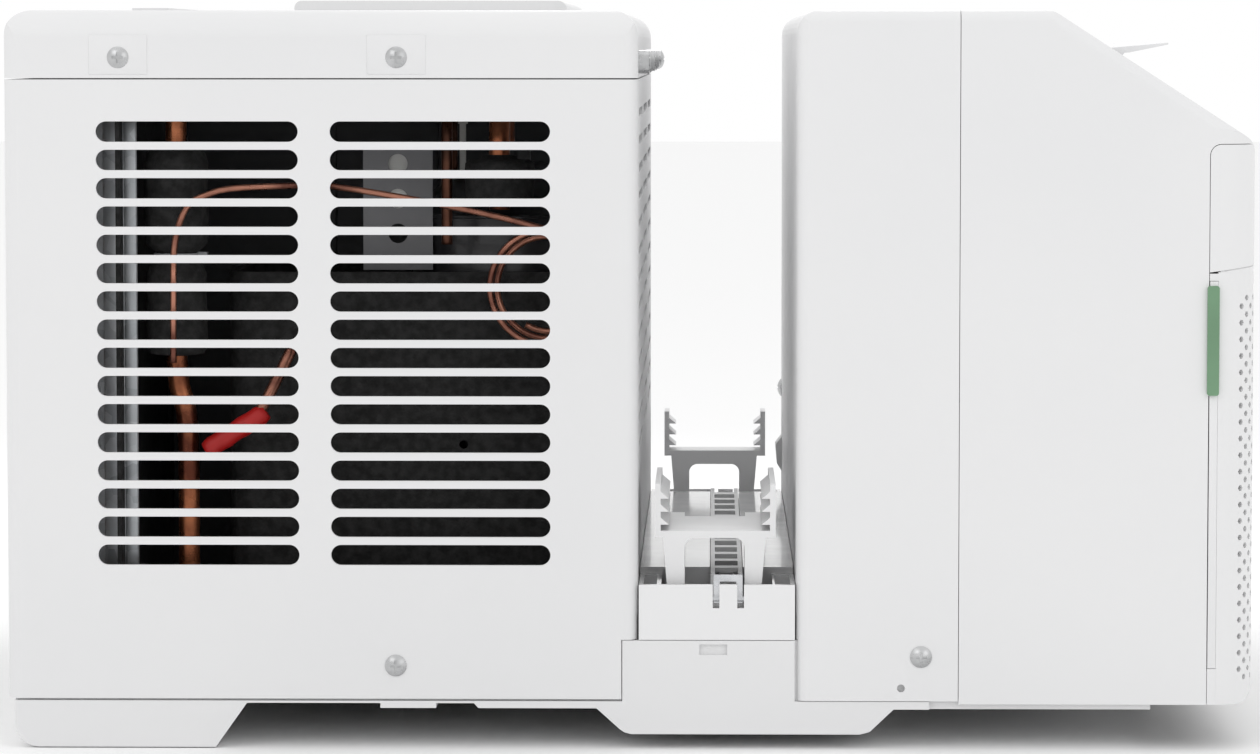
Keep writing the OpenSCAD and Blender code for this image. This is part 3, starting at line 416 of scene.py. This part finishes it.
HALF_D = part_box("front_grille")[1].x / MM
HALF_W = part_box("front_grille")[1].y / MM
GRILLE_X0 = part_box("front_grille")[0].x / MM
GRILLE_Z0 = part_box("front_grille")[0].z / MM
GRILLE_WALL = 2.5
FRONT_ROUND = 20
FLAT_SIDE = HALF_D - FRONT_ROUND - GRILLE_X0
CORNER = math.pi / 2 * FRONT_ROUND
FLAT_FRONT = 2 * (HALF_W - FRONT_ROUND)
PATH = 2 * FLAT_SIDE + 2 * CORNER + FLAT_FRONT
CHIN = 8
CHIN_BACK = 2
CHIN_STEPS = 6
CHIN_COLUMNS = 120
SEAM_Z = 213.05
SEAM_RISE = 0.1317
SIDE_TOP_Z = 213.0
SLOT_END = 3.9
FILTER_SLOT_Z = (36.2, 209.8)
HOLE_PITCH = 7.4
HOLE_R = 1.45
HOLE_SIDES = 6
HOLES_FROM_X = 270.8
HOLES_Z = (29.0, 203.0)
CELLS_FROM_Z = 17.0
CELLS_HEIGHT = 200
MERGE_DIST = 0.00002


def plan_point(u):
    """The grille's outline in plan, at a distance u from its near rear edge."""
    if u > PATH / 2:
        x, y = plan_point(PATH - u)
        return x, -y
    if u <= FLAT_SIDE:
        return GRILLE_X0 + u, -HALF_W
    if u <= FLAT_SIDE + CORNER:
        a = (u - FLAT_SIDE) / FRONT_ROUND
        return (HALF_D - FRONT_ROUND + FRONT_ROUND * math.sin(a),
                -HALF_W + FRONT_ROUND - FRONT_ROUND * math.cos(a))
    return HALF_D, -HALF_W + FRONT_ROUND + (u - FLAT_SIDE - CORNER)


def seam_top(x):
    """Height of the grille's upper edge."""
    return SEAM_Z + (x - GRILLE_X0) * SEAM_RISE


def chin_z(x):
    """Height of the grille's lower edge, rounded under at the front."""
    inset = x - (HALF_D - CHIN)
    if inset <= 0:
        return GRILLE_Z0
    return GRILLE_Z0 + CHIN - math.sqrt(max(0, CHIN * CHIN - inset * inset))


def cell_faces(corners, hole):
    """The faces between a diamond cell's four corners and its six-sided hole."""
    right, top, left, bottom = corners
    return [(right, top, hole[1], hole[0]), (top, hole[2], hole[1]), (top, left, hole[3], hole[2]),
            (left, bottom, hole[4], hole[3]), (bottom, hole[5], hole[4]),
            (bottom, right, hole[0], hole[5])]


def add_cells(verts, faces):
    """Diamond cells wrapped round the plan outline, each with a hole where it lies in the field."""
    half = HOLE_PITCH / 2
    columns = int(PATH / half) + 3
    rows = int(CELLS_HEIGHT / HOLE_PITCH) + 4
    start = PATH / 2 - (columns // 2) * half
    turns = [math.radians(360 / HOLE_SIDES * k) for k in range(HOLE_SIDES)]
    index = {}

    def vert(u, z):
        u = min(max(u, SLOT_END), PATH)
        x, y = plan_point(u)
        z = min(max(z, chin_z(x)), seam_top(x))
        key = (round(x, 3), round(y, 3), round(z, 3))
        if key not in index:
            index[key] = len(verts)
            verts.append(Vector((x, y, z)) * MM)
        return index[key]

    for i in range(-1, columns + 1):
        for j in range(-1, rows):
            u = start + i * half
            z = CELLS_FROM_Z + j * HOLE_PITCH + (i % 2) * half
            corners = (vert(u + half, z), vert(u, z + half), vert(u - half, z), vert(u, z - half))
            ring = tuple(dict.fromkeys(corners))
            if len(ring) < 3:
                continue
            x = plan_point(min(max(u, 0), PATH))[0]
            if x < HOLES_FROM_X or not HOLES_Z[0] < z < HOLES_Z[1]:
                faces.append(ring)
                continue
            hole = [vert(u + HOLE_R * math.cos(a), z + HOLE_R * math.sin(a)) for a in turns]
            faces += cell_faces(corners, hole)


def add_slot_edges(verts, faces):
    """The near side's rear edge, below and above the filter slot."""
    x0, x1 = GRILLE_X0, GRILLE_X0 + SLOT_END
    for z0, z1 in ((GRILLE_Z0, FILTER_SLOT_Z[0]), (FILTER_SLOT_Z[1], SIDE_TOP_Z)):
        base = len(verts)
        for x, z in ((x0, z0), (x1, z0), (x1, z1), (x0, z1)):
            verts.append(Vector((x, -HALF_W, z)) * MM)
        faces.append((base, base + 1, base + 2, base + 3))


def add_chin(verts, faces):
    """The rounded lower lip that turns back under the front."""
    u0 = FLAT_SIDE + math.asin(1 - CHIN / FRONT_ROUND) * FRONT_ROUND
    back_x = HALF_D - CHIN - CHIN_BACK
    previous = None
    for i in range(CHIN_COLUMNS + 1):
        u = u0 + (PATH - 2 * u0) * i / CHIN_COLUMNS
        x, y = plan_point(u)
        column = []
        for k in range(CHIN_STEPS + 1):
            xk = x + (back_x - x) * k / CHIN_STEPS
            column.append(len(verts))
            verts.append(Vector((xk, y, chin_z(xk))) * MM)
        if previous:
            for k in range(CHIN_STEPS):
                faces.append((previous[k], previous[k + 1], column[k + 1], column[k]))
        previous = column


def merge_close(obj):
    """Welds the vertices that fall together and drops what closes up."""
    form = bmesh.new()
    form.from_mesh(obj.data)
    bmesh.ops.remove_doubles(form, verts=form.verts[:], dist=MERGE_DIST)
    bmesh.ops.dissolve_degenerate(form, edges=form.edges[:], dist=MERGE_DIST)
    form.to_mesh(obj.data)
    form.free()


def build_front_grille():
    """The perforated lower front, as one bent sheet."""
    verts = []
    faces = []
    add_cells(verts, faces)
    add_slot_edges(verts, faces)
    add_chin(verts, faces)
    grille = mesh_object("front_grille_skin", verts, faces)
    merge_close(grille)
    apply_modifier(grille, "SOLIDIFY", thickness=GRILLE_WALL * MM, offset=-1)
    grille.data.shade_smooth()
    apply_modifier(grille, "EDGE_SPLIT", split_angle=math.radians(40))
    add_piece(grille, "shell_white", CHASSIS, "front_grille")


# ------------------------------------------------------------------ refrigerant pipes

PIPE_Y = -208
SUCTION_X = -201
WRAP_X = SUCTION_X - 5
STUB_Y = -216
SMALL_X = -84
LARGE_X = -60
CAPILLARY_R = 1.5
SMALL_R = 2.6
STUB_R = 2.7
SLEEVE_R = 4.7
LARGE_R = 4.8
LOOP_AT = (-37.6, 205.8)
LOOP_R = 28.2
LOOP_DRAW_IN = 0.12
LOOP_Y = -220
LOOP_LEAN = 0.25
LOOP_TURNS = 2.6
LOOP_POINTS = 24
FOAM_SWELL = 0.5
FOAM_GRAIN = 180


def build_capillary():
    """The thin tube that ends in a coil of loops."""
    route = [(-205.5, -230, 172), (-205.3, -230, 200), (-204.5, -230, 226), (-199, -229, 242),
             (-190, -229, 247.5), (-178, -228, 250.3), (-151, -227, 251.5), (-136, -226, 251.5),
             (-91, -224, 244), (-52, -221, 235.5)]
    for i in range(3, int(LOOP_TURNS * LOOP_POINTS) + 1):
        a = math.radians(90 - 360 / LOOP_POINTS * i)
        r = LOOP_R - i * LOOP_DRAW_IN
        route.append((LOOP_AT[0] + r * math.cos(a), LOOP_Y + i * LOOP_LEAN, LOOP_AT[1] + r * math.sin(a)))
    tube = tube_object("capillary", route, CAPILLARY_R, sides=12, step=2.5)
    add_piece(tube, "copper", CHASSIS, "capillary_tube")


def build_suction_line():
    """The thick pipe that comes down through the foam and runs low towards the room."""
    route = [(WRAP_X, PIPE_Y, 292), (WRAP_X, PIPE_Y, 230), (WRAP_X, PIPE_Y, 168),
             (SUCTION_X - 1, PIPE_Y, 148), (SUCTION_X, PIPE_Y, 120), (SUCTION_X, PIPE_Y, 80),
             (SUCTION_X, PIPE_Y, 52), (SUCTION_X + 5, PIPE_Y, 39), (SUCTION_X + 18, PIPE_Y, 34),
             (-100, PIPE_Y, 34), (30, PIPE_Y, 34), (52, PIPE_Y, 32), (200, PIPE_Y, 32)]
    tube = tube_object("suction_line", route, LARGE_R, sides=20, step=5)
    add_piece(tube, "copper", CHASSIS, "suction_pipe", material=BROWN_COPPER)


def build_discharge_lines():
    """Two pipes that rise from the compressor, cross to the near side and come down there."""
    small = [(-150, 255), (-150, 274), (-156, 284), (-172, 285), (-190, 284), (-197, 274), (-197, 224)]
    large = [(-138, 266.3), (-138, 275), (-145, 284), (-168, 285), (-190, 284), (-198, 274), (-198, 240)]
    tube = tube_object("discharge_line_small", [(SMALL_X, y, z) for y, z in small], SMALL_R, sides=14, step=3)
    add_piece(tube, "copper", CHASSIS, "discharge_pipes", material=DARK_COPPER)
    tube = tube_object("discharge_line_large", [(LARGE_X, y, z) for y, z in large], LARGE_R, sides=20, step=4)
    add_piece(tube, "copper", CHASSIS, "discharge_pipes", material=BROWN_COPPER)


def build_service_stub():
    """The short copper stub that leads into the red sleeve."""
    route = [(-153, STUB_Y, 178), (-157, STUB_Y, 170), (-163, STUB_Y, 158), (-169, STUB_Y, 147)]
    add_piece(tube_object("service_stub", route, STUB_R, sides=14, step=3), "copper", CHASSIS)


def build_red_sleeve():
    """Shrink sleeve over the stub, slightly lumpy where it has gripped."""
    def swell(t, a):
        ends = 0.78 + 0.22 * min(1, min(t, 1 - t) * 9)
        return ends * (1 + 0.04 * math.sin(7 * t * math.pi) + 0.03 * math.sin(2 * a))
    route = [(-165, STUB_Y, 149), (-174, STUB_Y, 143.3), (-183, STUB_Y, 137.5), (-192.5, STUB_Y, 131.4)]
    sleeve = tube_object("shrink_sleeve", route, SLEEVE_R, sides=20, step=2, swell=swell)
    add_piece(sleeve, "sleeve_red", CHASSIS, "red_sleeve")


def build_insulation():
    """Two wrapped foam sections on the suction pipe, drawn in by the tie between them."""
    profile = [(5.3, 174), (12.2, 175), (13.6, 178), (13.8, 190), (13.4, 205), (13.6, 211), (12.2, 214.6),
               (9.3, 217), (9.0, 220.5), (11.6, 222.5), (14.2, 225), (14.6, 236), (14.3, 250), (14.6, 261),
               (13.2, 265.5), (10.4, 268.6), (5.3, 270)]
    form = lathe_object("foam_wrap", (WRAP_X, PIPE_Y), profile, 56)
    for v in form.data.vertices:
        push = noise.noise(v.co * FOAM_GRAIN) * FOAM_SWELL * MM
        v.co += Vector((v.co.x - WRAP_X * MM, v.co.y - PIPE_Y * MM, 0)).normalized() * push
    add_piece(form, "foam_black", CHASSIS, "pipe_insulation")


# ------------------------------------------------------------------ coils and filter

FIN_WAVES = 6
FIN_WAVE_DEPTH = 0.35
FIN_GAUGE = 0.12
CONDENSER_PITCH = 2.0
EVAPORATOR_PITCH = 1.8
FILTER_CELLS = 5
FILTER_RIB = 8
THREAD_PITCH = 2.2
THREAD_HALF = 0.22
WEAVE_DEPTH = 0.1
SCREEN_GAUGE = 0.2
STRIP_Z = (36.4, 209.6)
STRIP_RIBS_Z = (48, 110, 140)
STRIP_RIB_TALL = 12


def build_fins(name, node, pitch):
    """A pack of thin corrugated fins in the place of a solid coil block."""
    low, high = node_mm(node)
    verts = []
    faces = []
    y = low.y
    while y <= high.y:
        base = len(verts)
        for k in range(FIN_WAVES + 1):
            x = low.x + (high.x - low.x) * k / FIN_WAVES
            shift = FIN_WAVE_DEPTH * (k % 2)
            verts.append(Vector((x, y + shift, low.z)) * MM)
            verts.append(Vector((x, y + shift, high.z)) * MM)
        for k in range(FIN_WAVES):
            a = base + 2 * k
            faces.append((a, a + 2, a + 3, a + 1))
        y += pitch
    fins = mesh_object(name, verts, faces, smooth=False)
    apply_modifier(fins, "SOLIDIFY", thickness=FIN_GAUGE * MM, offset=0)
    add_piece(fins, "fin_silver", CHASSIS, node)


def spread(low, high, pitch):
    """Even places between two ends, about a pitch apart and clear of both."""
    count = int((high - low) / pitch)
    return [low + (high - low) * k / count for k in range(1, count)]


def build_filter_mesh():
    """Woven screen in the windows of the filter frame."""
    low, high = node_mm("filter_mesh")
    x = (low.x + high.x) / 2
    cell = (high.y - low.y + FILTER_RIB) / FILTER_CELLS
    verts = []
    faces = []

    def thread(y0, y1, z0, z1, shift):
        base = len(verts)
        for y, z in ((y0, z0), (y1, z0), (y1, z1), (y0, z1)):
            verts.append(Vector((x + shift, y, z)) * MM)
        faces.append((base, base + 1, base + 2, base + 3))

    for i in range(FILTER_CELLS):
        y0 = low.y + i * cell
        y1 = y0 + cell - FILTER_RIB
        for y in spread(y0, y1, THREAD_PITCH):
            thread(y - THREAD_HALF, y + THREAD_HALF, low.z, high.z, WEAVE_DEPTH)
        for z in spread(low.z, high.z, THREAD_PITCH):
            thread(y0, y1, z - THREAD_HALF, z + THREAD_HALF, -WEAVE_DEPTH)
    screen = mesh_object("filter_screen", verts, faces, smooth=False)
    apply_modifier(screen, "SOLIDIFY", thickness=SCREEN_GAUGE * MM, offset=0)
    add_piece(screen, "mesh_grey", "filter", "filter_mesh")


def build_filter_cap():
    """The filter frame's end strip, flush with the side of the unit, with ribs behind it."""
    x0, x1 = GRILLE_X0 + 0.15, GRILLE_X0 + SLOT_END - 0.1
    cap = [round_box("strip", (x0, x1), (-HALF_W + 0.02, -HALF_W + 0.5), STRIP_Z, 0.1, 2)]
    for z in STRIP_RIBS_Z:
        cap.append(round_box("rib", (x0 + 0.8, x1 - 0.8), (-HALF_W + 0.3, -HALF_W + 1.1),
                             (z, z + STRIP_RIB_TALL), 0.3, 2))
    add_piece(join_objects("filter_end_strip", cap), "shell_white", "filter")


# ------------------------------------------------------------------ small inner pieces

CAP_Y = -198
PAD_PEGS_X = (-111, -105)
PARTITION_RIBS_X = (-222, -150, -96, -24)
FLANGE_Z = (31, 291)
HOOKS_Z = (222, 250, 278)
WELD_AT = (-57, -138, 236)
WELD_R = 46.3
WELD_POINTS = 24


def build_pipe_cap():
    """A turned rubber cap on the end of the large discharge pipe."""
    profile = [(5.2, 242.5), (13.5, 242.8), (15.4, 245), (15.8, 252), (15.3, 256), (15.9, 257),
               (15.6, 261), (13.4, 262.7), (8.2, 263), (7.6, 264.6), (5.2, 264.8)]
    add_piece(lathe_object("pipe_cap", (LARGE_X, CAP_Y), profile, 40), "foam_black", CHASSIS)


def build_bracket_pad():
    """A pale pad behind the bracket's holes, on two pegs; its pale colour is painted light, standing in for
    the light seen through the holes.
    """
    pad = [round_box("pad", (-114, -102), (-168.5, -167.4), (238, 266), 0.4, 2)]
    peg = [(0.8, 250), (1.5, 250.6), (1.5, 255.4), (0.8, 256)]
    pad += [lathe_object("peg", (x, -165.6), peg, 16) for x in PAD_PEGS_X]
    add_piece(join_objects("bracket_pad", pad), "inner_grey", CHASSIS, material=NYLON_AND_PAINTED_LIGHT)


def build_partition():
    """A ribbed wall between the compressor and the fan."""
    wall = [round_box("fan_partition", (-225, -12), (-50.5, -49.3), (56, 288), 0.5, 2)]
    wall += [round_box("rib", (x, x + 5), (-52.2, -50), (60, 284), 0.8, 2) for x in PARTITION_RIBS_X]
    add_piece(join_objects("fan_partition_panel", wall), "foam_black", CHASSIS, material=PARTITION_GREY)


def build_coil_flange():
    """The folded flange down the near edge of the condenser."""
    flange = [round_box("flange", (-237.5, -222.2), (-223.2, -222.2), FLANGE_Z, 0.4, 2),
              round_box("flange", (-231.2, -230.3), (-224.4, -222.6), FLANGE_Z, 0.4, 2),
              round_box("flange", (-228, -222.4), (-224, -222.6), FLANGE_Z, 0.5, 2)]
    add_piece(join_objects("coil_flange", flange), "galvanised", CHASSIS)


def build_nylon_strip():
    """A pale upright strip with three hooks."""
    strip = [round_box("strip", (-80.6, -77.6), (-150, -149), (216, 286), 0.3, 2)]
    strip += [round_box("hook", (-81.4, -76.8), (-149.4, -147.6), (z, z + 3), 0.4, 2) for z in HOOKS_Z]
    add_piece(join_objects("nylon_strip", strip), "inner_grey", CHASSIS, material=NYLON_AND_PAINTED_LIGHT)


def build_weld_seam():
    """The raised weld round the compressor's shell."""
    x, y, z = WELD_AT
    turns = [math.radians(360 / WELD_POINTS * k) for k in range(WELD_POINTS + 1)]
    route = [(x + WELD_R * math.cos(a), y + WELD_R * math.sin(a), z) for a in turns]
    add_piece(tube_object("weld_seam", route, 0.9, sides=8, step=3), "motor_black", CHASSIS)


# ------------------------------------------------------------------ bridge and lid details

DECK_HALF = 193.5
RAIL_WINDOWS = 12
RAIL_END = 12
RAIL_BAR = 10
PAD_SCREWS_X = (-228, -104)
PAD_SCREWS_Z = (301.5, 319)
PAD_HALF = 13
PAD_DEEP = 0.22


def build_rail_arches():
    """A small bridge and a bright pad in each window of the rail."""
    low, high = node_mm("bracket_rail")
    pitch = (2 * DECK_HALF - RAIL_END) / RAIL_WINDOWS
    arch = [(low.x + 2.2, high.z - 7), (low.x + 3.5, high.z - 3.4), ((low.x + high.x) / 2, high.z - 2.4),
            (high.x - 3.5, high.z - 3.4), (high.x - 2.2, high.z - 7)]
    pieces = []
    for i in range(RAIL_WINDOWS):
        y0 = -DECK_HALF + RAIL_BAR + i * pitch
        y1 = -DECK_HALF + (i + 1) * pitch
        route = [(x, (y0 + y1) / 2, z) for x, z in arch]
        pieces.append(tube_object("arch", route, 1.1, sides=8, step=1.4))
        pieces.append(round_box("pad", (low.x + 4, high.x - 4), (y0 + 2.5, y1 - 4),
                                (low.z + 1.6, low.z + 3.2), 0.5))
    rails = join_objects("rail_bridges", pieces)
    rails.data.shade_smooth()
    add_piece(rails, "bracket_white", CHASSIS)


def build_screw_pads():
    """Slightly raised pads round the side screws of the top cover."""
    pads = []
    for side in (-1, 1):
        y = side * (HALF_W + 0.1)
        for x in PAD_SCREWS_X:
            pads.append(round_box("pad", (x - PAD_HALF, x + PAD_HALF), (y - PAD_DEEP, y + PAD_DEEP),
                                  PAD_SCREWS_Z, 0.2, 2))
    add_piece(join_objects("screw_pads", pads), "case_white", CHASSIS)


# ------------------------------------------------------------------ build

bpy.context.scene.view_settings.view_transform = "Standard"
add_camera()
finish_cad_nodes()
build_front_grille()
build_capillary()
build_suction_line()
build_discharge_lines()
build_service_stub()
build_red_sleeve()
build_insulation()
build_fins("condenser_fins", "condenser_coil", CONDENSER_PITCH)
build_fins("evaporator_fins", "evaporator_coil", EVAPORATOR_PITCH)
build_filter_mesh()
build_filter_cap()
build_pipe_cap()
build_bracket_pad()
build_partition()
build_coil_flange()
build_nylon_strip()
build_weld_seam()
build_rail_arches()
build_screw_pads()

add_world((1, 1, 1), 1.0)
add_floor(new_material("floor_white", (0.93, 0.93, 0.93), 0.9, specular=0.2))
add_light("key", (-1.6, -2.4, 2.2), (0, 0, 0.15), (2.0, 1.6), 9)
add_light("fill", (1.9, -2.2, 1.2), (0, 0, 0.15), (1.6, 1.6), 4)
add_light("back", (0.04, 0.95, 0.95), (0.04, -0.1, 0.15), (0.5, 0.4), 2.2)
add_light("top", (0, 0.2, 2.6), (0, 0, 0), (2.2, 2.2), 4)
